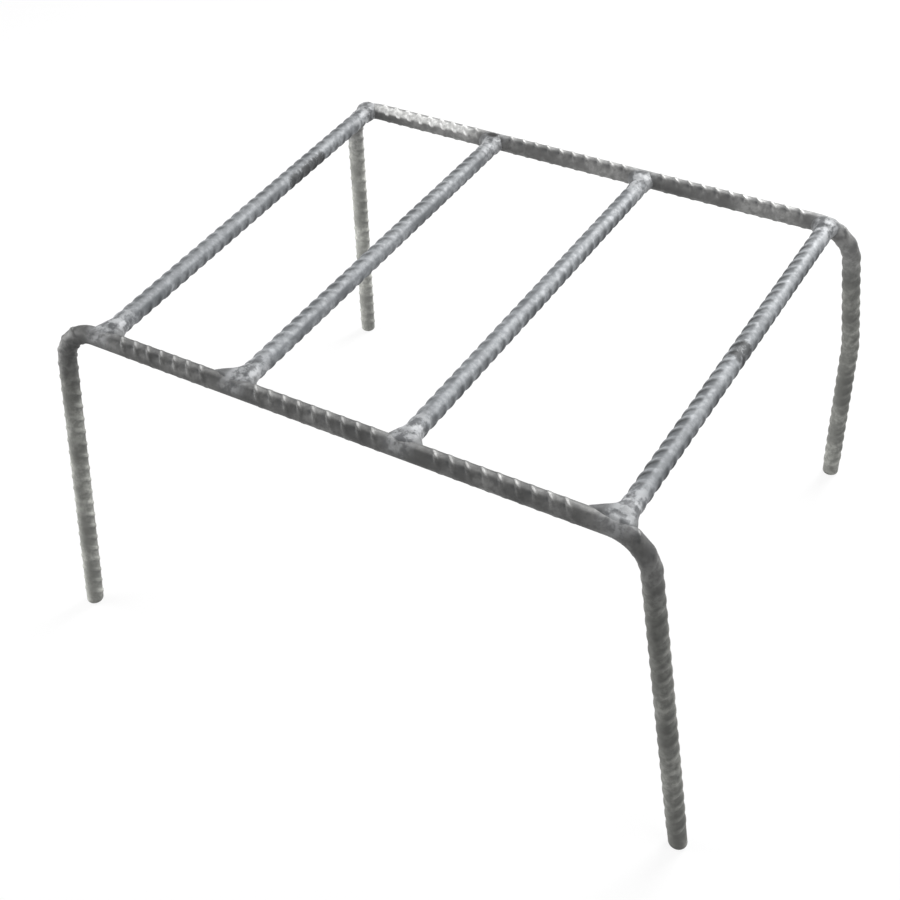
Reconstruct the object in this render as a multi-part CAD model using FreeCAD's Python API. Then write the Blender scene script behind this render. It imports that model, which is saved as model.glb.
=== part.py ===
import FreeCAD, Part
import math
import os

# Four-legged stand welded from ribbed reinforcing bar, in millimetres.
# Two bars are bent like open stirrups, each a rail with two legs.
# Four straight cross bars stand square against the inner sides of the rails.
# +X runs along the rails, +Y from the front bar to the rear bar, +Z up.
# The stand rests on z = 0, and the origin is the middle of its plan.

# Ribbed bar
core_diameter = 10.0
rib_height = 0.5
rib_width = 1.3
rib_pitch = 8.6
rib_tilt = 36.0
rib_half_span = 74.0

# How far the rib rows are turned about each bar: forward on the stirrups, leftward if negative
stirrup_rib_roll = 15.0
cross_bar_1_rib_roll = -50.0
cross_bar_2_rib_roll = -32.0
cross_bar_3_rib_roll = -70.0
cross_bar_4_rib_roll = -56.0

# Frame, measured between bar centrelines
rail_span = 340.0
frame_depth = 283.0
rail_height = 196.0
bend_radius = 22.5

# How far each foot stands outside its corner, along X and along Y
front_left_splay_x = 7.7
front_left_splay_y = 24.5
front_right_splay_x = 34.8
front_right_splay_y = 9.5
rear_left_splay_x = 12.3
rear_left_splay_y = 12.5
rear_right_splay_x = 11.6
rear_right_splay_y = 21.0

# Slack second bend in the rear right leg
knee_drop = 86.0
knee_out_x = 9.5
knee_out_y = 13.4
knee_radius = 90.0

# Cross bars: the outer two from the corners, the inner two from the middle
left_bar_front_inset = 27.6
left_bar_rear_inset = 13.2
right_bar_front_inset = 15.3
right_bar_rear_inset = 13.3
second_bar_front_x = -55.2
second_bar_rear_x = -60.7
third_bar_front_x = 41.7
third_bar_rear_x = 42.8

# Welds: how far each runs along the rail, past the left and the right of its bar
front_weld_1_left = 4.0
front_weld_1_right = 5.5
front_weld_2_left = 13.0
front_weld_2_right = 4.5
front_weld_3_left = 5.0
front_weld_3_right = 6.0
front_weld_4_left = 13.0
front_weld_4_right = 3.0
rear_weld_1_left = 2.5
rear_weld_1_right = 2.0
rear_weld_2_left = 6.0
rear_weld_2_right = 1.5
rear_weld_3_left = 6.0
rear_weld_3_right = 1.5
rear_weld_4_left = 4.5
rear_weld_4_right = 1.5

# Welds: how far they run along the bar, and their height over it
root_gap = 1.0
front_weld_reach = 9.5
rear_weld_reach = 6.0
weld_crown = 0.5

# Sections of a weld, as shares of the bar's radius and of the weld's own sizes
root_place_share = -0.55
root_width_share = 0.90
root_height_share = 0.55
root_rise_share = 0.15
saddle_place_share = 0.10
saddle_width_share = 0.75
saddle_height_share = 0.97
saddle_rise_share = 0.10
toe_place_share = 0.75
toe_rise_share = 0.05
throat_reach_share = 0.28
throat_width_share = 0.36
slope_reach_share = 0.62
slope_width_share = 0.10
slope_crown_share = 0.30
tip_width_share = 0.99
tip_height_share = 0.98

# Cut ends of the legs
foot_rounding = 1.8

# Values worked out from the sizes above
Vector = FreeCAD.Vector
UP = Vector(0, 0, 1)
ACROSS = Vector(0, 1, 0)
TO_LEFT = Vector(-1, 0, 0)
core_radius = core_diameter / 2
rib_end_across = core_radius * math.sin(math.radians(rib_half_span))
rib_end_along = core_radius * math.cos(math.radians(rib_half_span))
rib_top = core_radius + rib_height
rib_arc_shift = (rib_top ** 2 - core_radius ** 2) / (2 * (rib_top - rib_end_along))
rib_arc_radius = rib_top - rib_arc_shift
left_reach = rail_span / 2 + max(front_left_splay_x, rear_left_splay_x)
right_reach = rail_span / 2 + max(front_right_splay_x, rear_right_splay_x)
front_reach = frame_depth / 2 + max(front_left_splay_y, front_right_splay_y)
rear_reach = frame_depth / 2 + max(rear_left_splay_y, rear_right_splay_y)
middle_x = (left_reach - right_reach) / 2
middle_y = (front_reach - rear_reach) / 2
left_x = middle_x - rail_span / 2
right_x = middle_x + rail_span / 2
front_y = middle_y - frame_depth / 2
rear_y = middle_y + frame_depth / 2
end_distance = core_radius + root_gap
cross_bar_length = frame_depth - 2 * end_distance
foot_spare = core_diameter


def bar_wire(corners, radii):
    """Centreline of straight runs joined by tangent bends at the inner corners."""
    edges = []
    start = corners[0]
    for before, corner, after, radius in zip(corners, corners[1:], corners[2:], radii):
        back = (before - corner).normalize()
        onward = (after - corner).normalize()
        half_angle = back.getAngle(onward) / 2
        tangent_length = radius / math.tan(half_angle)
        bisector = (back + onward).normalize()
        bend_start = corner + back * tangent_length
        bend_middle = corner + bisector * (radius / math.sin(half_angle) - radius)
        bend_end = corner + onward * tangent_length
        edges.append(Part.LineSegment(start, bend_start).toShape())
        edges.append(Part.Arc(bend_start, bend_middle, bend_end).toShape())
        start = bend_end
    edges.append(Part.LineSegment(start, corners[-1]).toShape())
    return Part.Wire(edges)


def round_bar(wire):
    """Plain round core of a bar along its centreline."""
    first = wire.OrderedEdges[0]
    start = first.valueAt(first.FirstParameter)
    direction = first.tangentAt(first.FirstParameter)
    section = Part.Wire(Part.makeCircle(core_radius, start, direction))
    return wire.makePipeShell([section], True, False)


def place_along(wire, distance):
    """Point and direction of the centreline at a distance from its start."""
    for edge in wire.OrderedEdges:
        if distance <= edge.Length:
            parameter = edge.getParameterByLength(distance)
            return edge.valueAt(parameter), edge.tangentAt(parameter)
        distance -= edge.Length
    raise ValueError("the distance lies past the end of the bar")


def rib_pair():
    """Slanted pair of crescent ribs, for a bar along Z whose two rib rows face along X."""
    size = 4 * rib_top
    slab = Part.makeBox(size, size, rib_width, Vector(-size / 2, -size / 2, -rib_width / 2))
    slab.rotate(Vector(0, 0, 0), Vector(1, 0, 0), rib_tilt)
    one_arc = Part.makeCylinder(rib_arc_radius, size, Vector(rib_arc_shift, 0, -size / 2))
    other_arc = Part.makeCylinder(rib_arc_radius, size, Vector(-rib_arc_shift, 0, -size / 2))
    return slab.common(one_arc.fuse(other_arc)).Solids[0]


def seat_rib(rib, point, direction, side, roll):
    """Rib pair set round the bar at a point, with its rows rolled about the bar."""
    row = FreeCAD.Rotation(direction, roll).multVec(direction.cross(side)).normalize()
    turn = FreeCAD.Rotation(row, direction.cross(row), direction, "ZXY")
    seated = rib.copy()
    seated.Placement = FreeCAD.Placement(point, turn)
    return seated


def add_ribs(core, wire, side, roll, first, last, welds):
    """Core with crescent ribs at the rolled pitch, left bare between the ends of each weld."""
    rib = rib_pair()
    ribs = []
    distance = first
    while distance <= last:
        point, direction = place_along(wire, distance)
        if all(not start < point.x < end for start, end in welds):
            ribs.append(seat_rib(rib, point, direction, side, roll))
        distance += rib_pitch
    return core.fuse(ribs).Solids[0]


def level_feet(core):
    """Legs cut level with the floor, with the cut edges rounded."""
    box = core.BoundBox
    floor = Part.makeBox(box.XLength, box.YLength, -box.ZMin, Vector(box.XMin, box.YMin, box.ZMin))
    standing = core.cut(floor)
    rims = [edge for edge in standing.Edges if edge.BoundBox.ZMax < foot_rounding]
    return standing.makeFillet(foot_rounding, rims)


def stirrup_bar(corners, radii, joints, weld_widths):
    """Bent bar with two legs, ribbed up to its welds."""
    first_run = (corners[1] - corners[0]).normalize()
    last_run = (corners[-2] - corners[-1]).normalize()
    lower_start = corners[0] - first_run * foot_spare
    lower_end = corners[-1] - last_run * foot_spare
    wire = bar_wire([lower_start] + corners[1:-1] + [lower_end], radii)
    core = level_feet(round_bar(wire))
    first = foot_spare + rib_pitch
    last = wire.Length - foot_spare - rib_pitch
    welds = []
    for joint, (left_width, right_width) in zip(joints, weld_widths):
        start = joint.x - core_radius - left_width - rib_width
        end = joint.x + core_radius + right_width + rib_width
        welds.append((start, end))
    return add_ribs(core, wire, ACROSS, stirrup_rib_roll, first, last, welds)


def cross_bar(front_point, rear_point, roll):
    """Straight ribbed bar between the rails, short of each by the root gap."""
    middle = (front_point + rear_point) / 2
    direction = (rear_point - front_point).normalize()
    half = direction * (cross_bar_length / 2)
    wire = bar_wire([middle - half, middle + half], [])
    first = front_weld_reach + rib_width
    last = cross_bar_length - rear_weld_reach - rib_width
    return add_ribs(round_bar(wire), wire, TO_LEFT, roll, first, last, [])


def weld_bead(rail_point, bar_direction, widths, reach, stirrup, bar):
    """Weld metal that runs from the top of a rail, over its side, onto the end of a cross bar."""
    left_width, right_width = widths
    width = (left_width + right_width) / 2
    lean = (left_width - right_width) / 2
    side = bar_direction.cross(UP).normalize()
    root = (
        root_place_share * core_radius,
        root_width_share * core_radius,
        root_height_share * core_radius,
        0,
        root_rise_share * core_radius,
    )
    saddle = (
        saddle_place_share * core_radius,
        core_radius + saddle_width_share * width,
        saddle_height_share * core_radius,
        saddle_width_share * lean,
        saddle_rise_share * core_radius,
    )
    toe = (
        toe_place_share * core_radius,
        core_radius + width,
        core_radius,
        lean,
        toe_rise_share * core_radius,
    )
    throat = (
        end_distance + throat_reach_share * reach,
        core_radius + throat_width_share * width,
        core_radius + weld_crown,
        throat_width_share * lean,
        0,
    )
    slope = (
        end_distance + slope_reach_share * reach,
        core_radius + slope_width_share * width,
        core_radius + slope_crown_share * weld_crown,
        slope_width_share * lean,
        0,
    )
    tip = (
        end_distance + reach,
        tip_width_share * core_radius,
        tip_height_share * core_radius,
        0,
        0,
    )
    sections = []
    for distance, half_width, half_height, shift, rise in (root, saddle, toe, throat, slope, tip):
        centre = rail_point + bar_direction * distance + TO_LEFT * shift + UP * rise
        outline = Part.Ellipse(centre + side * half_width, centre + UP * half_height, centre)
        sections.append(Part.Wire(outline.toShape()))
    flare = Part.makeLoft(sections, True, False)
    return max(flare.cut([stirrup, bar]).Solids, key=lambda solid: solid.Volume)


# Corners and feet of the two bent bars
top_front_left = Vector(left_x, front_y, rail_height)
top_front_right = Vector(right_x, front_y, rail_height)
top_rear_left = Vector(left_x, rear_y, rail_height)
top_rear_right = Vector(right_x, rear_y, rail_height)
foot_front_left = Vector(left_x - front_left_splay_x, front_y - front_left_splay_y, 0)
foot_front_right = Vector(right_x + front_right_splay_x, front_y - front_right_splay_y, 0)
foot_rear_left = Vector(left_x - rear_left_splay_x, rear_y + rear_left_splay_y, 0)
foot_rear_right = Vector(right_x + rear_right_splay_x, rear_y + rear_right_splay_y, 0)
knee = top_rear_right + Vector(knee_out_x, knee_out_y, -knee_drop)

# Where the cross bars meet the rail centrelines
cross_bar_ends = [
    (left_x + left_bar_front_inset, left_x + left_bar_rear_inset),
    (middle_x + second_bar_front_x, middle_x + second_bar_rear_x),
    (middle_x + third_bar_front_x, middle_x + third_bar_rear_x),
    (right_x - right_bar_front_inset, right_x - right_bar_rear_inset),
]
front_points = [Vector(front_x, front_y, rail_height) for front_x, rear_x in cross_bar_ends]
rear_points = [Vector(rear_x, rear_y, rail_height) for front_x, rear_x in cross_bar_ends]

# Widths of the welds to the left and to the right of each bar
front_widths = [
    (front_weld_1_left, front_weld_1_right),
    (front_weld_2_left, front_weld_2_right),
    (front_weld_3_left, front_weld_3_right),
    (front_weld_4_left, front_weld_4_right),
]
rear_widths = [
    (rear_weld_1_left, rear_weld_1_right),
    (rear_weld_2_left, rear_weld_2_right),
    (rear_weld_3_left, rear_weld_3_right),
    (rear_weld_4_left, rear_weld_4_right),
]
bar_rolls = [cross_bar_1_rib_roll, cross_bar_2_rib_roll, cross_bar_3_rib_roll, cross_bar_4_rib_roll]

# Build every piece
front_corners = [foot_front_left, top_front_left, top_front_right, foot_front_right]
rear_corners = [foot_rear_left, top_rear_left, top_rear_right, knee, foot_rear_right]
front_radii = [bend_radius, bend_radius]
rear_radii = [bend_radius, bend_radius, knee_radius]
front_bar = stirrup_bar(front_corners, front_radii, front_points, front_widths)
rear_bar = stirrup_bar(rear_corners, rear_radii, rear_points, rear_widths)
pieces = {"front_stirrup": front_bar, "rear_stirrup": rear_bar}
for index, (front_point, rear_point) in enumerate(zip(front_points, rear_points)):
    rearward = (rear_point - front_point).normalize()
    forward = rearward * -1
    bar = cross_bar(front_point, rear_point, bar_rolls[index])
    front_weld = weld_bead(
        front_point, rearward, front_widths[index], front_weld_reach, front_bar, bar
    )
    rear_weld = weld_bead(rear_point, forward, rear_widths[index], rear_weld_reach, rear_bar, bar)
    pieces[f"cross_bar_{index + 1}"] = bar
    pieces[f"front_weld_{index + 1}"] = front_weld
    pieces[f"rear_weld_{index + 1}"] = rear_weld

os.makedirs("parts", exist_ok=True)
for name, shape in pieces.items():
    shape.exportStep(f"parts/{name}.step")
    print(name, shape.ShapeType, len(shape.Solids), shape.isValid(), round(shape.Volume, 1))
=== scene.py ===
import math

import bpy
import numpy as np
from mathutils import Matrix, Vector


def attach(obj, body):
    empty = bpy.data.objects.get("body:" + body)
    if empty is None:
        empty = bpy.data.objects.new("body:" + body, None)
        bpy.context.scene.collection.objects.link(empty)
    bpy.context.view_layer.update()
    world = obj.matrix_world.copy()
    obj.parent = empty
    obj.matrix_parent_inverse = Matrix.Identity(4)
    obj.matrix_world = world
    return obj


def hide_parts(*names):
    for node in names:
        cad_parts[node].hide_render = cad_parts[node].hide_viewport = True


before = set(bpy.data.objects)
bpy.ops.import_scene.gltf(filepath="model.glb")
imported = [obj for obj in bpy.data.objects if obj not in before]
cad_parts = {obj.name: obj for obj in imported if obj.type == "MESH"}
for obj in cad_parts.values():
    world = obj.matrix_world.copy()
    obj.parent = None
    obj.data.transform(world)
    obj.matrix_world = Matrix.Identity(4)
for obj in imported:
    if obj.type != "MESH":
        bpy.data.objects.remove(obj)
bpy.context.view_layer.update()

# Welded stand of ribbed bar: rolled ribs, weld beads, steel and a plain studio around the frame.
# Sizes are in millimetres, as in the part's source, and MM turns them into Blender's metres.
MM = 0.001

# Ribbed bar
core_radius = 5.0
rib_height = 0.5
rib_width = 1.3
rib_half_span = 74.0
rib_top_width = 0.8
rib_base_width = 3.3
rib_pitch = 8.6
rib_tilt = 36.0

# How far the rib rows are turned about each bar: forward on the stirrups, leftward if negative
stirrup_rib_roll = 15.0
cross_bar_rib_rolls = [-50.0, -32.0, -70.0, -56.0]

# Frame, between bar centrelines
rail_span = 340.0
frame_depth = 283.0
rail_height = 196.0
bend_radius = 22.5
middle_x = -11.25
middle_y = 1.75

# How far each foot stands outside its corner, along X and along Y
front_left_splay = (7.7, 24.5)
front_right_splay = (34.8, 9.5)
rear_left_splay = (12.3, 12.5)
rear_right_splay = (11.6, 21.0)

# Slack second bend in the rear right leg
knee_offset = (9.5, 13.4, -86.0)
knee_radius = 90.0

# Where each cross bar meets the front rail and the rear rail, from the middle of the rails
cross_bar_places = [(-142.4, -156.8), (-55.2, -60.7), (41.7, 42.8), (154.7, 156.7)]

# Welds: how far each runs along the rail, past the left and the right of its bar
front_weld_widths = [(4.0, 5.5), (13.0, 4.5), (5.0, 6.0), (13.0, 3.0)]
rear_weld_widths = [(2.5, 2.0), (6.0, 1.5), (6.0, 1.5), (4.5, 1.5)]

# Welds: how far they run along the bar, and their height over it
root_gap = 1.0
front_weld_reach = 9.5
rear_weld_reach = 6.0
weld_crown = 0.5

# Sections of a weld, as shares of the bar's radius and of the weld's own sizes
root_place_share = -0.55
root_width_share = 0.90
root_height_share = 0.55
root_rise_share = 0.15
saddle_place_share = 0.10
saddle_width_share = 0.75
saddle_height_share = 0.97
saddle_rise_share = 0.10
toe_place_share = 0.75
toe_rise_share = 0.05
throat_reach_share = 0.28
throat_width_share = 0.36
slope_reach_share = 0.62
slope_width_share = 0.10
slope_crown_share = 0.30
tip_width_share = 0.99
tip_height_share = 0.98

# Weld surface: ripples around the bead, which sway and drift along it, and uneven lumps
ripple_height = 0.12
ripples_around = 13
ripple_sway = 0.8
ripple_drift = 3.0
lump_height = 0.3
lump_size = 5.0
lump_waves = 6

# Heat marks at the joints: where they start and stop fading, from the joint or as shares of the radius
bar_heat = (12.0, 34.0)
rail_heat = (3.0, 12.0)
rail_heat_rise = 5.0
rail_heat_most = 0.55
bead_heat = (0.75, 1.8)
bead_heat_at_root = 0.55
bead_least_heat = 0.12

# Painted shade in the corner before each rib: its reach, and how far the steel faces up where it starts
# and is full
rib_shade_reach = 4.6
rail_rib_shade_slope = (0.35, 0.85)
bar_rib_shade_slope = (-0.6, -0.1)
cross_bar_rib_shades = [0.6, 0.5, 0.55, 0.9]
leg_rib_shade = 0.45

# Wear and painted highlight on rib tops and along the rails' tops, and a painted highlight streak along
# the bars, over a range of how far the steel faces up or leans
rail_top_wear_and_highlight = 0.20
rail_wear_highlight_slope = (0.90, 1.0)
bar_wear_highlight_slope = (0.45, 0.95)
bar_highlight_streak = 0.78
bar_highlight_streak_slope = (0.84, 1.0)
bar_highlight_streak_lean = 30.0
leg_rib_wear_and_highlight = 0.12

# Stretch of painted highlight along the upper rear, at the left of the rear rail
rail_highlight_most = 0.98
rail_highlight_slope = (0.66, 0.86)
rail_highlight_lean = 30.0
rail_highlight_rib_gain = 0.25
rail_highlight_rib_level = 0.5
rail_highlight_end_x = -82.0
rail_highlight_fade = 14.0

# Dark burns: the cross bar they are near, where they start and end as shares of it, and their offset
burn_marks = [
    (1, 1.0, 1.0, (-2.0, -1.5, 4.5)),
    (0, 0.64, 0.75, (4.5, 0.0, -0.5)),
    (3, 0.485, 0.52, (1.2, 0.0, 1.6)),
]
burn_steps = 12
burn_reach = 8.0

# Cut ends of the legs
foot_rounding = 1.8

# Mesh density
bar_segments = 56
flank_rings = 4
weld_segments = 72
weld_rings = 40
foot_rings = 6
plain_step = 2.5

# Colours of the scale, of worn steel and painted highlight, of painted shade by the ribs, and of the
# marks
rail_dark = (0.075, 0.075, 0.074)
rail_pale = (0.165, 0.165, 0.162)
rail_wear_and_sheen = (0.62, 0.62, 0.61)
leg_tint = (0.99, 1.0, 0.95)
bar_dark = (0.215, 0.229, 0.243)
bar_pale = (0.45, 0.472, 0.494)
bar_wear_and_sheen = (0.648, 0.672, 0.697)
bead_dark = (0.13, 0.135, 0.141)
bead_pale = (0.46, 0.47, 0.482)
bead_edge = (0.105, 0.107, 0.108)
rib_shade_colour = (0.05, 0.051, 0.052)
scorch = (0.03, 0.03, 0.03)
no_tint = (1.0, 1.0, 1.0)

# Tones: painted light and shade, which make the steel paler or darker. A stirrup has one each for its
# left foot, left leg, left bend, both ends of its rail, right leg and right foot. A cross bar has one for
# each end.
front_stirrup_light_and_shade = [3.1, 2.4, 0.58, 0.9, 1.3, 1.55, 2.0]
rear_stirrup_light_and_shade = [3.1, 3.1, 1.4, 1.5, 1.75, 1.7, 2.2]
cross_bar_light_and_shade = [(0.59, 0.50), (0.62, 0.49), (0.64, 0.62), (0.56, 0.57)]
leg_tone_fade = 45.0

# Noise in the steel: scale, detail and roughness
patch_noise = (42, 3, 0.55)
fleck_noise = (330, 4, 0.6)
grain_noise = (1700, 3, 0.6)
bead_noise = (190, 3, 0.6)

# Where the noise turns from dark to pale, and how much the flecks break up each mark
patch_range = (0.34, 0.66)
fleck_range = (0.3, 0.6)
dark_fleck_range = (0.36, 0.62)
dark_fleck_most = 0.6
rib_shade_breakup = (0.7, 1.0)
wear_highlight_breakup = (1.0, 0.55)
heat_breakup = (0.5, 1.0)
burn_breakup = (0.5, 1.4)
burn_range = (0.1, 0.8)
burn_most = 0.75
bead_range = (0.40, 0.60)
bead_burn_range = (0.3, 0.7)

# Height at which the legs' look starts, and at which it is full
leg_heights = (190.0, 150.0)

# Gloss and relief
steel_metallic = 0.1
steel_specular = 0.15
roughness_range = (0.3, 0.7)
steel_roughness = (0.46, 0.66)
bead_roughness = (0.4, 0.6)
steel_relief = 0.12
bead_relief = 0.08
grain_share = 0.35

# Camera of the photograph: where it stands, what it looks at, its roll and its lens
camera_place = (305.25, -539.55, 615.6)
camera_target = (52.45, -129.72, 196.0)
camera_roll = -2.209
camera_lens = 54.124
camera_sensor = 36.0
camera_reach = 30.0

# Studio: a soft lamp behind and above, weak ones at both sides, and a pale room, brightest overhead
key_direction = (0.30, 1.3, 0.8)
key_distance = 1.7
key_size = 0.9
key_power = 38.0
left_direction = (-0.9, -0.42, 0.12)
left_distance = 1.0
left_size = 0.7
left_power = 14.0
right_direction = (0.85, -0.1, 0.8)
right_distance = 0.8
right_size = 0.5
right_power = 2.0
room_low = 0.18
room_high = 0.43
floor_size = 12.0
floor_colour = (0.5, 0.5, 0.5, 1)
floor_glow = 1.14
floor_glow_share = 0.75

# Values worked out from the sizes above
ACROSS = np.array([0.0, 1.0, 0.0])
TO_LEFT = np.array([-1.0, 0.0, 0.0])
UP = np.array([0.0, 0.0, 1.0])
left_x = middle_x - rail_span / 2
right_x = middle_x + rail_span / 2
front_y = middle_y - frame_depth / 2
rear_y = middle_y + frame_depth / 2
end_distance = core_radius + root_gap
cross_bar_length = frame_depth - 2 * end_distance
rib_slant = core_radius * math.tan(math.radians(rib_tilt))
rib_lengthening = 1 / math.cos(math.radians(rib_tilt))

# The front rail has no painted highlight stretch, so the end of one lies left of the rail
front_highlight_end_x = left_x - 2 * core_radius


def unit(vectors):
    """Vectors scaled to length one along their last axis."""
    return vectors / np.linalg.norm(vectors, axis=-1, keepdims=True)


def smooth_step(low, high, values):
    """Smooth ramp from 0 at low to 1 at high."""
    share = np.clip((values - low) / (high - low), 0, 1)
    return share * share * (3 - 2 * share)


class Centreline:
    """Straight runs joined by tangent bends, with points and directions at distances along it."""

    def __init__(self, corners, radii):
        corners = [np.array(corner, float) for corner in corners]
        self.runs = []
        self.length = 0.0
        start = corners[0]
        for before, corner, after, radius in zip(corners, corners[1:], corners[2:], radii):
            back = unit(before - corner)
            onward = unit(after - corner)
            half_angle = math.acos(back @ onward) / 2
            reach = radius / math.tan(half_angle)
            bend_start = corner + back * reach
            centre = corner + unit(back + onward) * (radius / math.sin(half_angle))
            self.add_straight(start, bend_start)
            self.add_bend(centre, bend_start, -back, radius, math.pi - 2 * half_angle)
            start = corner + onward * reach
        self.add_straight(start, corners[-1])

    def add_straight(self, start, end):
        """Straight run from one point to the next."""
        length = np.linalg.norm(end - start)
        direction = (end - start) / length

        def along(distance):
            return start + distance * direction, direction + 0 * distance

        self.runs.append((self.length, length, along))
        self.length += length

    def add_bend(self, centre, start, direction, radius, angle):
        """Bend about a centre, from a point on it and the direction there."""
        outward = (start - centre) / radius

        def along(distance):
            turn = distance / radius
            point = centre + radius * (np.cos(turn) * outward + np.sin(turn) * direction)
            return point, np.cos(turn) * direction - np.sin(turn) * outward

        self.runs.append((self.length, radius * angle, along))
        self.length += radius * angle

    def at(self, distance):
        """Points and directions at an array of distances; the end runs go on past the ends."""
        points = np.zeros(distance.shape + (3,))
        directions = np.zeros(distance.shape + (3,))
        last = len(self.runs) - 1
        for index, (begin, length, along) in enumerate(self.runs):
            here = np.ones(distance.shape, bool)
            if index > 0:
                here &= distance >= begin
            if index < last:
                here &= distance < begin + length
            points[here], directions[here] = along((distance[here] - begin)[:, None])
        return points, directions


def mesh_piece(name, rings, material):
    """Smooth tube through rings of points in millimetres, closed by a cap at each end."""
    count, segments = rings.shape[:2]
    index = np.arange(count * segments).reshape(count, segments)
    onward = np.roll(index, -1, axis=1)
    quads = np.stack([index[:-1], onward[:-1], onward[1:], index[1:]], axis=-1).reshape(-1, 4)
    caps = [index[0, ::-1].tolist(), index[-1].tolist()]
    mesh = bpy.data.meshes.new(name)
    mesh.from_pydata((rings.reshape(-1, 3) * MM).tolist(), [], quads.tolist() + caps)
    mesh.shade_smooth()
    mesh.materials.append(material)
    piece = bpy.data.objects.new(name, mesh)
    bpy.context.scene.collection.objects.link(piece)
    return piece


def stand_in(piece, node):
    """Lets a piece ride on the stand's only body in place of its CAD node."""
    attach(piece, "root")
    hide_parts(node)


def store(piece, name, values):
    """Keeps one number for each vertex, for the steel to read."""
    attribute = piece.data.attributes.new(name, "FLOAT", "POINT")
    attribute.data.foreach_set("value", values.astype(np.float32).ravel())


def crescent(angles):
    """Share of the full rib height at angles from its row."""
    from_row = np.abs(np.degrees(angles))
    from_row = np.minimum(from_row, 180 - from_row)
    return np.clip(1 - (from_row / rib_half_span) ** 2, 0, 1)


def rib_flank(from_rib):
    """Share of the full rib height at distances from its middle."""
    across = np.abs(from_rib) / rib_lengthening
    return 1 - smooth_step(rib_top_width / 2, rib_base_width / 2, across)


def rib_shade_share(from_rib):
    """Share of painted shade in the corner before a rib."""
    before = -from_rib / rib_lengthening
    half = rib_base_width / 2
    return smooth_step(0, half, before) * (1 - smooth_step(half, rib_shade_reach, before))


def bar_stations(length, rib_places, end_steps):
    """Ring distances along a bar, close together on its ribs and at its ends."""
    flank_steps = np.linspace(rib_top_width / 2, rib_base_width / 2, flank_rings) * rib_lengthening
    rib_steps = np.concatenate([-flank_steps, flank_steps])
    on_ribs = (rib_places[:, None] + rib_steps[None, :]).ravel()
    fixed = np.concatenate([end_steps, on_ribs, length - end_steps])
    plain = np.arange(plain_step, length, plain_step)
    clear = np.abs(plain[:, None] - fixed[None, :]).min(axis=1) > plain_step / 2
    return np.sort(np.concatenate([fixed, plain[clear]]))


def bar_axes(directions, side, roll):
    """Rib row and sideways axes of a bar, square to its direction, rolled about it."""
    top = unit(np.cross(directions, side))
    beside = np.cross(directions, top)
    turn = math.radians(roll)
    row = top * math.cos(turn) + beside * math.sin(turn)
    return row, np.cross(directions, row)


def closeness(points, centres, near, far):
    """How near each point is to the nearest centre: 1 up to the near distance, 0 from the far one."""
    gaps = np.linalg.norm(points[..., None, :] - np.array(centres), axis=-1)
    return 1 - smooth_step(near, far, gaps.min(axis=-1))


def ribbed_bar(node, material, line, side, roll, rib_places, end_steps, end_insets, rib_shade_strength):
    """Bar with crescent ribs, whose rings slant with the ribs and even out towards its ends."""
    stations = bar_stations(line.length, rib_places, end_steps)
    from_rib = stations - rib_places[np.argmin(np.abs(stations[:, None] - rib_places), axis=1)]
    from_end = np.minimum(stations, line.length - stations)
    slanting = np.clip((from_end - end_steps[-1]) / rib_slant, 0, 1)
    inset = np.interp(from_end, end_steps, end_insets)
    angles = np.linspace(-math.pi, math.pi, bar_segments, endpoint=False)
    height = rib_flank(from_rib)[:, None] * crescent(angles)[None, :]
    radius = core_radius - inset[:, None] + rib_height * height
    circle = (np.cos(angles)[None, :, None], np.sin(angles)[None, :, None])
    along = stations[:, None] + slanting[:, None] * rib_slant * np.sin(angles)[None, :]
    if inset.any():
        near = slanting < 1
        directions = line.at(stations[near, None])[1]
        row, beside = bar_axes(directions, side, roll)
        rise = radius[near] * (circle[0] * row + circle[1] * beside)[..., 2]
        along[near] -= (1 - slanting[near])[:, None] * rise / directions[..., 2]
    points, directions = line.at(along)
    row, beside = bar_axes(directions, side, roll)
    surface = points + radius[..., None] * (circle[0] * row + circle[1] * beside)
    piece = mesh_piece(f"ribbed_{node}", surface, material)
    store(piece, "rib", height)
    # Painted shade in the corner before each rib
    store(piece, "rib_shade", rib_shade_strength * rib_shade_share(from_rib)[:, None] * crescent(angles)[None, :])
    store(piece, "burn", closeness(surface, burn_places, 0, burn_reach))
    stand_in(piece, node)
    return piece, surface, stations, height


def facing(surface, sideways=0.0, lean=0.0):
    """How far the side of a level bar faces up, or a direction that leans sideways: 1 at the most."""
    turn = math.radians(lean)
    upward = surface[..., 2] - rail_height
    return (upward * math.cos(turn) + sideways * math.sin(turn)) / core_radius


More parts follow.
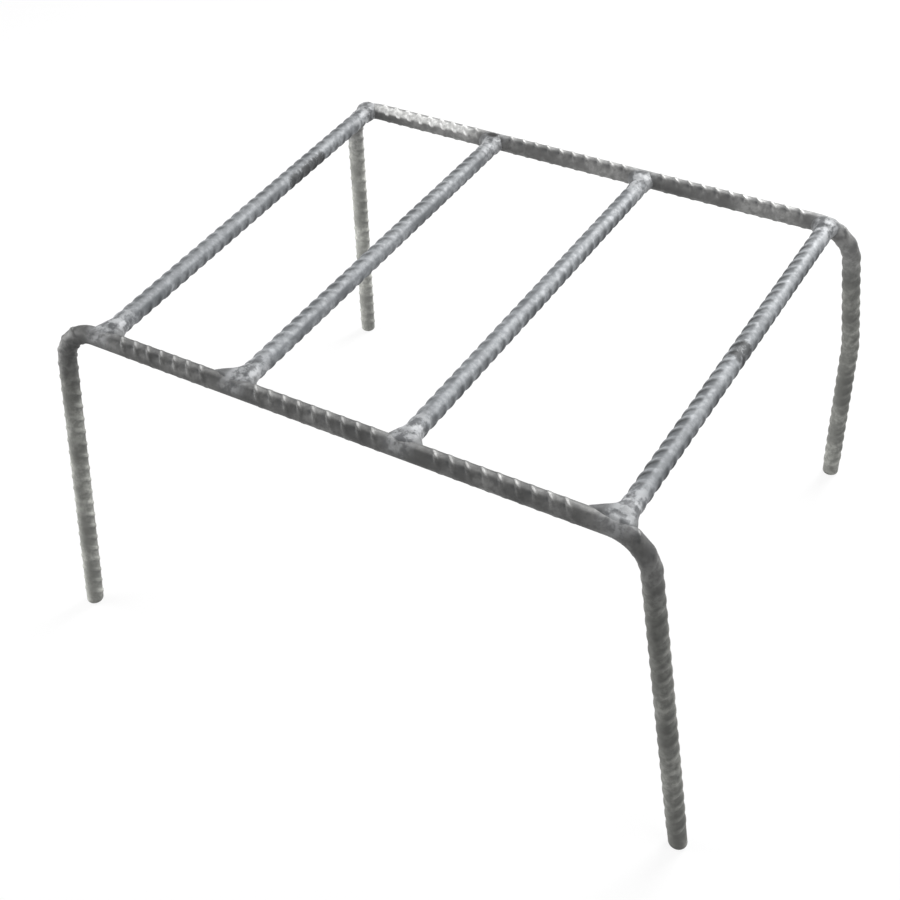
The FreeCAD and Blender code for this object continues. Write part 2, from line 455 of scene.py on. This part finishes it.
def stirrup(node, corners, radii, joints, weld_widths, tones, highlight_end_x):
    """Bent bar with two legs, ribbed up to the welds, its feet cut level and rounded."""
    line = Centreline(corners, radii)
    places = np.arange(rib_pitch, line.length - rib_pitch, rib_pitch)
    for joint, (left_width, right_width) in zip(joints, weld_widths):
        from_joint = line.at(places)[0][:, 0] - joint[0]
        bare_left = core_radius + left_width + rib_width
        bare_right = core_radius + right_width + rib_width
        places = places[(from_joint < -bare_left) | (from_joint > bare_right)]
    turn = np.linspace(0, math.pi / 2, foot_rings)
    end_steps = foot_rounding * (1 - np.cos(turn))
    end_insets = foot_rounding * (1 - np.sin(turn))
    piece, surface, stations, height = ribbed_bar(
        node, stirrup_steel, line, ACROSS, stirrup_rib_roll,
        places, end_steps, end_insets, 1.0,
    )
    bend_start, rail_start, _, right_leg = (run[0] for run in line.runs[1:5])
    knots = [
        0, bend_start - leg_tone_fade, (bend_start + rail_start) / 2,
        rail_start, right_leg, right_leg + leg_tone_fade, line.length,
    ]
    # Painted light and shade: the steel paler or darker, part by part
    light_and_shade_tone = np.interp(stations, knots, tones)
    store(piece, "light_and_shade_tone", light_and_shade_tone[:, None] + np.zeros(bar_segments))
    # Painted highlight along the upper rear of the rail, up to its end along X; wear and painted
    # highlight on the rail's top
    forward = joints[0][1] - surface[..., 1]
    leaning = facing(surface, forward, rail_highlight_lean) + rail_highlight_rib_gain * (height - rail_highlight_rib_level)
    rail_highlight = rail_highlight_most * smooth_step(*rail_highlight_slope, leaning)
    rail_highlight = rail_highlight * (1 - smooth_step(highlight_end_x - rail_highlight_fade, highlight_end_x, surface[..., 0]))
    store(piece, "wear_and_highlight", np.maximum(rail_highlight, rail_top_wear_and_highlight * smooth_step(*rail_wear_highlight_slope, facing(surface))))
    marks = [joint + rail_heat_rise * UP for joint in joints]
    store(piece, "joint_heat", rail_heat_most * closeness(surface, marks, *rail_heat))


def cross_bar(node, front_point, rear_point, roll, tones, rib_shade_strength):
    """Straight ribbed bar between the rails, short of each by the root gap."""
    middle = (front_point + rear_point) / 2
    half = unit(rear_point - front_point) * cross_bar_length / 2
    line = Centreline([middle - half, middle + half], [])
    first = front_weld_reach + rib_width
    last = cross_bar_length - rear_weld_reach - rib_width
    places = np.arange(first, last, rib_pitch)
    ends = np.zeros(1)
    piece, surface, stations, _ = ribbed_bar(
        node, cross_bar_steel, line, TO_LEFT, roll,
        places, ends, ends, rib_shade_strength,
    )
    # Painted light and shade: the steel paler or darker from end to end
    light_and_shade_tone = np.interp(stations, [0, line.length], tones)
    store(piece, "light_and_shade_tone", light_and_shade_tone[:, None] + np.zeros(bar_segments))
    # Painted highlight streak along the upper right side of the bar
    to_right = (surface - middle) @ unit(np.cross(half, UP))
    leaning = facing(surface, to_right, bar_highlight_streak_lean)
    store(piece, "wear_and_highlight", bar_highlight_streak * smooth_step(*bar_highlight_streak_slope, leaning))
    store(piece, "joint_heat", closeness(surface, [front_point, rear_point], *bar_heat))


def smooth_through(knots, values, places):
    """Natural cubic spline through the values at the knots."""
    gaps = np.diff(knots)
    slopes = np.diff(values, axis=0) / gaps[:, None]
    count = len(knots)
    system = np.eye(count)
    right = np.zeros_like(values)
    for index in range(1, count - 1):
        before, after = gaps[index - 1], gaps[index]
        system[index, index - 1:index + 2] = before, 2 * (before + after), after
        right[index] = 6 * (slopes[index] - slopes[index - 1])
    bends = np.linalg.solve(system, right)
    left = np.clip(np.searchsorted(knots, places) - 1, 0, count - 2)
    gap = gaps[left][:, None]
    past = (places - knots[left])[:, None]
    ahead = gap - past
    curve = (bends[left] * ahead ** 3 + bends[left + 1] * past ** 3) / (6 * gap)
    line = (values[left] / gap - bends[left] * gap / 6) * ahead
    return curve + line + (values[left + 1] / gap - bends[left + 1] * gap / 6) * past


def weld_sections(widths, reach):
    """Place, half width, half height, lean and rise of a weld's sections, from rail to bar."""
    left_width, right_width = widths
    width = (left_width + right_width) / 2
    lean = (left_width - right_width) / 2
    root = (
        root_place_share * core_radius,
        root_width_share * core_radius,
        root_height_share * core_radius,
        0,
        root_rise_share * core_radius,
    )
    saddle = (
        saddle_place_share * core_radius,
        core_radius + saddle_width_share * width,
        saddle_height_share * core_radius,
        saddle_width_share * lean,
        saddle_rise_share * core_radius,
    )
    toe = (
        toe_place_share * core_radius,
        core_radius + width,
        core_radius,
        lean,
        toe_rise_share * core_radius,
    )
    throat = (
        end_distance + throat_reach_share * reach,
        core_radius + throat_width_share * width,
        core_radius + weld_crown,
        throat_width_share * lean,
        0,
    )
    slope = (
        end_distance + slope_reach_share * reach,
        core_radius + slope_width_share * width,
        core_radius + slope_crown_share * weld_crown,
        slope_width_share * lean,
        0,
    )
    tip = (
        end_distance + reach,
        tip_width_share * core_radius,
        tip_height_share * core_radius,
        0,
        0,
    )
    sections = np.array([root, saddle, toe, throat, slope, tip])
    knots = np.linspace(0, 1, len(sections))
    return smooth_through(knots, sections, np.linspace(0, 1, weld_rings))


def lumps(points, seed):
    """Gentle uneven swell of a hand-laid bead, from a few crossed waves."""
    chance = np.random.default_rng(len(front_joints) + seed)
    waves = unit(chance.normal(size=(lump_waves, 3))) * (2 * math.pi / lump_size)
    phases = chance.uniform(0, 2 * math.pi, lump_waves)
    return np.sin(points @ waves.T + phases).mean(axis=-1)


def weld_bead(node, rail_point, bar_direction, widths, reach, seed):
    """Weld metal that runs from the top of a rail, over its side, onto the end of a cross bar."""
    sections = weld_sections(widths, reach)
    side = unit(np.cross(bar_direction, UP))
    angles = np.linspace(0, 2 * math.pi, weld_segments, endpoint=False)
    place, half_width, half_height, lean, rise = (column[:, None, None] for column in sections.T)
    centre = rail_point + place * bar_direction + lean * TO_LEFT + rise * UP
    outward = half_width * np.cos(angles)[None, :, None] * side
    outward = outward + half_height * np.sin(angles)[None, :, None] * UP
    onto_bar = np.linspace(0, 1, weld_rings)[:, None]
    swell = np.sin(math.pi * onto_bar)
    drift = ripple_sway * np.sin(2 * angles + seed)[None, :] + ripple_drift * onto_bar
    ripple = np.sin(ripples_around * angles[None, :] + drift) * ripple_height
    lump = lump_height * (1 + lumps(centre + outward, seed)) / 2
    raised = swell * (ripple_height + ripple + lump)
    surface = centre + outward + raised[..., None] * unit(outward)
    piece = mesh_piece(f"bead_{node}", surface[:, ::-1], weld_metal)
    beside_bar = np.abs((surface - rail_point) @ side) / core_radius
    most_heat = bead_heat_at_root + (1 - bead_heat_at_root) * onto_bar
    heat = np.maximum(bead_least_heat, most_heat * (1 - smooth_step(*bead_heat, beside_bar)))
    store(piece, "joint_heat", heat[:, ::-1])
    store(piece, "burn", closeness(surface[:, ::-1], burn_places, 0, burn_reach))
    stand_in(piece, node)


def add_node(tree, kind, inputs, **settings):
    """New shader node; an input is a number, a colour or another node's output."""
    made = tree.nodes.new(kind)
    for name, value in settings.items():
        setattr(made, name, value)
    for name, value in inputs.items():
        if isinstance(value, bpy.types.NodeSocket):
            tree.links.new(value, made.inputs[name])
        else:
            made.inputs[name].default_value = value
    return made


def noise(tree, place, scale, detail, roughness):
    """Noise in the part's own coordinates, from 0 to 1."""
    inputs = {"Vector": place, "Scale": scale, "Detail": detail, "Roughness": roughness}
    return add_node(tree, "ShaderNodeTexNoise", inputs).outputs["Fac"]


def ramp(tree, value, low, high, start=0.0, end=1.0):
    """Value brought smoothly from the range low to high into the range start to end."""
    inputs = {"Value": value, "From Min": low, "From Max": high, "To Min": start, "To Max": end}
    return add_node(tree, "ShaderNodeMapRange", inputs, interpolation_type="SMOOTHSTEP").outputs["Result"]


def blend(tree, share, first, second, kind="MIX"):
    """Two colours mixed by a share."""
    made = add_node(tree, "ShaderNodeMix", {"Factor": share}, data_type="RGBA", blend_type=kind)
    for socket, value in (("A_Color", first), ("B_Color", second)):
        target = next(i for i in made.inputs if i.identifier == socket)
        if isinstance(value, bpy.types.NodeSocket):
            tree.links.new(value, target)
        else:
            target.default_value = (*value, 1)
    return next(o for o in made.outputs if o.identifier == "Result_Color")


def times(tree, first, second):
    """Product of two numbers."""
    made = add_node(tree, "ShaderNodeMath", {}, operation="MULTIPLY")
    for target, value in zip(made.inputs, (first, second)):
        if isinstance(value, bpy.types.NodeSocket):
            tree.links.new(value, target)
        else:
            target.default_value = value
    return made.outputs["Value"]


def vertex_value(tree, name):
    """Number stored on the mesh."""
    return add_node(tree, "ShaderNodeAttribute", {}, attribute_name=name).outputs["Fac"]


def new_metal(name):
    """Material with a dull metal shader, its node tree and the shader."""
    material = bpy.data.materials.new(name)
    material.use_nodes = True
    tree = material.node_tree
    shader = tree.nodes["Principled BSDF"]
    shader.inputs["Metallic"].default_value = steel_metallic
    shader.inputs["Specular IOR Level"].default_value = steel_specular
    return material, tree, shader


def rough_up(tree, shader, height, roughness, depth):
    """Links a roughness and a bump of a depth in millimetres to a shader."""
    bump = add_node(tree, "ShaderNodeBump", {"Height": height, "Strength": 1.0, "Distance": depth * MM})
    tree.links.new(bump.outputs["Normal"], shader.inputs["Normal"])
    tree.links.new(roughness, shader.inputs["Roughness"])


def part_of(tree, vector, axis):
    """One component of a vector."""
    return add_node(tree, "ShaderNodeSeparateXYZ", {"Vector": vector}).outputs[axis]


def blend_height(tree, coarse, fine):
    """Relief of coarse flecks with some fine grain in it."""
    inputs = {"Factor": grain_share, "A": coarse, "B": fine}
    return add_node(tree, "ShaderNodeMix", inputs, data_type="FLOAT").outputs["Result"]


def larger(tree, first, second):
    """The larger of two numbers."""
    made = add_node(tree, "ShaderNodeMath", {}, operation="MAXIMUM")
    tree.links.new(first, made.inputs[0])
    tree.links.new(second, made.inputs[1])
    return made.outputs["Value"]


def broken_up(tree, value, flecks, shares):
    """Value broken up by the steel's flecks, from one share of it to the other."""
    return times(tree, value, ramp(tree, flecks, *fleck_range, *shares))


def bead_colour(tree, place):
    """Mottled grey of weld metal, with dull patches of slag."""
    patches = noise(tree, place, *bead_noise)
    return blend(tree, ramp(tree, patches, *bead_range), bead_dark, bead_pale), patches


def rolled_steel(name, dark, pale, wear_and_sheen, rib_shade_slope, wear_highlight_slope, low_tint):
    """Hot-rolled steel: mottled scale with fine pits, painted shade by the ribs, wear and painted
    highlight on rib tops that face up, painted light and shade in its tones, with its marks.
    """
    material, tree, shader = new_metal(name)
    place = add_node(tree, "ShaderNodeTexCoord", {}).outputs["Object"]
    facing = add_node(tree, "ShaderNodeNewGeometry", {}).outputs["Normal"]
    patches = noise(tree, place, *patch_noise)
    flecks = noise(tree, place, *fleck_noise)
    grain = noise(tree, place, *grain_noise)
    colour = blend(tree, ramp(tree, patches, *patch_range), dark, pale)
    colour = blend(tree, ramp(tree, flecks, *dark_fleck_range, 0.0, dark_fleck_most), colour, dark)
    rise = part_of(tree, facing, "Z")
    # Painted shade before the ribs: on steel that faces up, and down the legs
    rib_shade = broken_up(tree, vertex_value(tree, "rib_shade"), flecks, rib_shade_breakup)
    leg_start, leg_full = leg_heights
    down_leg = ramp(tree, part_of(tree, place, "Z"), leg_start * MM, leg_full * MM)
    rib_shade_where = larger(tree, ramp(tree, rise, *rib_shade_slope), times(tree, down_leg, leg_rib_shade))
    colour = blend(tree, times(tree, rib_shade, rib_shade_where), colour, rib_shade_colour)
    # Wear and painted highlight: paler rib tops that face up, rail tops, bar streaks and the rail's
    # highlight stretch
    rib = vertex_value(tree, "rib")
    upward = ramp(tree, rise, *wear_highlight_slope)
    leg_rib = times(tree, times(tree, rib, leg_rib_wear_and_highlight), down_leg)
    wear_and_highlight_share = larger(tree, times(tree, rib, upward), vertex_value(tree, "wear_and_highlight"))
    wear_and_highlight_share = broken_up(tree, larger(tree, wear_and_highlight_share, leg_rib), flecks, wear_highlight_breakup)
    colour = blend(tree, wear_and_highlight_share, colour, wear_and_sheen)
    colour = blend(tree, down_leg, colour, low_tint, "MULTIPLY")
    # Painted light and shade from each part's tone
    colour = blend(tree, 1.0, colour, vertex_value(tree, "light_and_shade_tone"), "MULTIPLY")
    heated = broken_up(tree, vertex_value(tree, "joint_heat"), flecks, heat_breakup)
    colour = blend(tree, heated, colour, bead_colour(tree, place)[0])
    burnt = broken_up(tree, vertex_value(tree, "burn"), flecks, burn_breakup)
    colour = blend(tree, ramp(tree, burnt, *burn_range, 0.0, burn_most), colour, scorch)
    tree.links.new(colour, shader.inputs["Base Color"])
    roughness = ramp(tree, flecks, *roughness_range, *steel_roughness)
    rough_up(tree, shader, blend_height(tree, flecks, grain), roughness, steel_relief)
    return material


def bead_metal(name):
    """Weld metal: smoother than the bars, bright by the bar and dark where it runs out on the rail."""
    material, tree, shader = new_metal(name)
    place = add_node(tree, "ShaderNodeTexCoord", {}).outputs["Object"]
    grain = noise(tree, place, *grain_noise)
    colour, patches = bead_colour(tree, place)
    colour = blend(tree, vertex_value(tree, "joint_heat"), bead_edge, colour)
    burnt = ramp(tree, vertex_value(tree, "burn"), *bead_burn_range)
    colour = blend(tree, burnt, colour, scorch)
    tree.links.new(colour, shader.inputs["Base Color"])
    roughness = ramp(tree, patches, *roughness_range, *bead_roughness)
    rough_up(tree, shader, grain, roughness, bead_relief)
    return material


def photo_camera():
    """Camera at the photograph's viewing angle."""
    data = bpy.data.cameras.new("camera")
    data.lens = camera_lens
    data.sensor_width = camera_sensor
    data.clip_end = camera_reach
    camera = bpy.data.objects.new("camera", data)
    back = (Vector(camera_place) - Vector(camera_target)).normalized()
    across = Vector(UP).cross(back).normalized()
    upward = back.cross(across)
    roll = math.radians(camera_roll)
    right = across * math.cos(roll) + upward * math.sin(roll)
    up = upward * math.cos(roll) - across * math.sin(roll)
    turn = Matrix((right, up, back)).transposed().to_4x4()
    camera.matrix_world = Matrix.Translation(Vector(camera_place) * MM) @ turn
    bpy.context.scene.collection.objects.link(camera)
    bpy.context.scene.camera = camera


def soft_lamp(name, direction, distance, size, power):
    """Square lamp that faces the middle of the stand."""
    data = bpy.data.lights.new(name, "AREA")
    data.size = size
    data.energy = power
    lamp = bpy.data.objects.new(name, data)
    towards = Vector(direction).normalized()
    middle = Vector((middle_x, middle_y, rail_height / 2)) * MM
    lamp.location = middle + towards * distance
    lamp.rotation_mode = "QUATERNION"
    lamp.rotation_quaternion = towards.to_track_quat("Z", "Y")
    bpy.context.scene.collection.objects.link(lamp)


def seen_directly(tree):
    """1 for rays that show the background: from the camera, from gloss and through glass."""
    path = add_node(tree, "ShaderNodeLightPath", {})
    shown = path.outputs["Is Camera Ray"]
    for name in ("Is Glossy Ray", "Is Transmission Ray"):
        shown = larger(tree, shown, path.outputs[name])
    return shown


def pale_room():
    """Room light that is brightest overhead, with a white background where it is seen."""
    world = bpy.data.worlds.new("room")
    bpy.context.scene.world = world
    world.use_nodes = True
    tree = world.node_tree
    background = tree.nodes["Background"]
    background.inputs["Color"].default_value = (1, 1, 1, 1)
    direction = add_node(tree, "ShaderNodeTexCoord", {}).outputs["Generated"]
    light = ramp(tree, part_of(tree, direction, "Z"), 0, 1, room_low, room_high)
    inputs = {"Factor": seen_directly(tree), "A": light, "B": 1.0}
    strength = add_node(tree, "ShaderNodeMix", inputs, data_type="FLOAT").outputs["Result"]
    tree.links.new(strength, background.inputs["Strength"])


def pale_floor():
    """Plain pale floor that keeps a faint shadow of the stand."""
    half = floor_size / 2
    mesh = bpy.data.meshes.new("floor")
    corners = [(-half, -half, 0), (half, -half, 0), (half, half, 0), (-half, half, 0)]
    mesh.from_pydata(corners, [], [(0, 1, 2, 3)])
    floor = bpy.data.objects.new("floor", mesh)
    bpy.context.scene.collection.objects.link(floor)
    material = bpy.data.materials.new("floor_paper")
    material.use_nodes = True
    tree = material.node_tree
    tree.nodes.clear()
    paper = add_node(tree, "ShaderNodeBsdfDiffuse", {"Color": floor_colour})
    glow = add_node(tree, "ShaderNodeEmission", {"Color": (1, 1, 1, 1), "Strength": floor_glow})
    share = times(tree, seen_directly(tree), floor_glow_share)
    mixed = add_node(tree, "ShaderNodeMixShader", {"Fac": share})
    tree.links.new(paper.outputs["BSDF"], mixed.inputs[1])
    tree.links.new(glow.outputs["Emission"], mixed.inputs[2])
    output = add_node(tree, "ShaderNodeOutputMaterial", {})
    tree.links.new(mixed.outputs["Shader"], output.inputs["Surface"])
    mesh.materials.append(material)


# Corners and feet of the bent bars, and where the cross bars meet the rails
corner_front_left = np.array([left_x, front_y, rail_height])
corner_front_right = np.array([right_x, front_y, rail_height])
corner_rear_left = np.array([left_x, rear_y, rail_height])
corner_rear_right = np.array([right_x, rear_y, rail_height])
foot_front_left = np.array([left_x - front_left_splay[0], front_y - front_left_splay[1], 0])
foot_front_right = np.array([right_x + front_right_splay[0], front_y - front_right_splay[1], 0])
foot_rear_left = np.array([left_x - rear_left_splay[0], rear_y + rear_left_splay[1], 0])
foot_rear_right = np.array([right_x + rear_right_splay[0], rear_y + rear_right_splay[1], 0])
knee = corner_rear_right + np.array(knee_offset)
front_joints = [np.array([middle_x + front, front_y, rail_height]) for front, rear in cross_bar_places]
rear_joints = [np.array([middle_x + rear, rear_y, rail_height]) for front, rear in cross_bar_places]
burn_places = [
    front_joints[bar] + share * (rear_joints[bar] - front_joints[bar]) + np.array(offset)
    for bar, first, last, offset in burn_marks
    for share in np.linspace(first, last, burn_steps)
]

# Steel and weld metal
stirrup_steel = rolled_steel(
    "stirrup_steel", rail_dark, rail_pale, rail_wear_and_sheen, rail_rib_shade_slope, rail_wear_highlight_slope, leg_tint,
)
cross_bar_steel = rolled_steel(
    "cross_bar_steel", bar_dark, bar_pale, bar_wear_and_sheen, bar_rib_shade_slope, bar_wear_highlight_slope, no_tint,
)
weld_metal = bead_metal("weld_metal")

# The stand
stirrup(
    "front_stirrup",
    [foot_front_left, corner_front_left, corner_front_right, foot_front_right],
    [bend_radius, bend_radius],
    front_joints,
    front_weld_widths,
    front_stirrup_light_and_shade,
    front_highlight_end_x,
)
stirrup(
    "rear_stirrup",
    [foot_rear_left, corner_rear_left, corner_rear_right, knee, foot_rear_right],
    [bend_radius, bend_radius, knee_radius],
    rear_joints,
    rear_weld_widths,
    rear_stirrup_light_and_shade,
    rail_highlight_end_x,
)
for index, (front_joint, rear_joint) in enumerate(zip(front_joints, rear_joints)):
    number = index + 1
    rearward = unit(rear_joint - front_joint)
    roll = cross_bar_rib_rolls[index]
    tones = cross_bar_light_and_shade[index]
    cross_bar(f"cross_bar_{number}", front_joint, rear_joint, roll, tones, cross_bar_rib_shades[index])
    front_widths = front_weld_widths[index]
    rear_widths = rear_weld_widths[index]
    weld_bead(f"front_weld_{number}", front_joint, rearward, front_widths, front_weld_reach, number)
    weld_bead(f"rear_weld_{number}", rear_joint, -rearward, rear_widths, rear_weld_reach, -number)

# The studio
photo_camera()
soft_lamp("key_lamp", key_direction, key_distance, key_size, key_power)
soft_lamp("left_lamp", left_direction, left_distance, left_size, left_power)
soft_lamp("right_lamp", right_direction, right_distance, right_size, right_power)
pale_room()
pale_floor()
bpy.context.scene.view_settings.view_transform = "Standard"
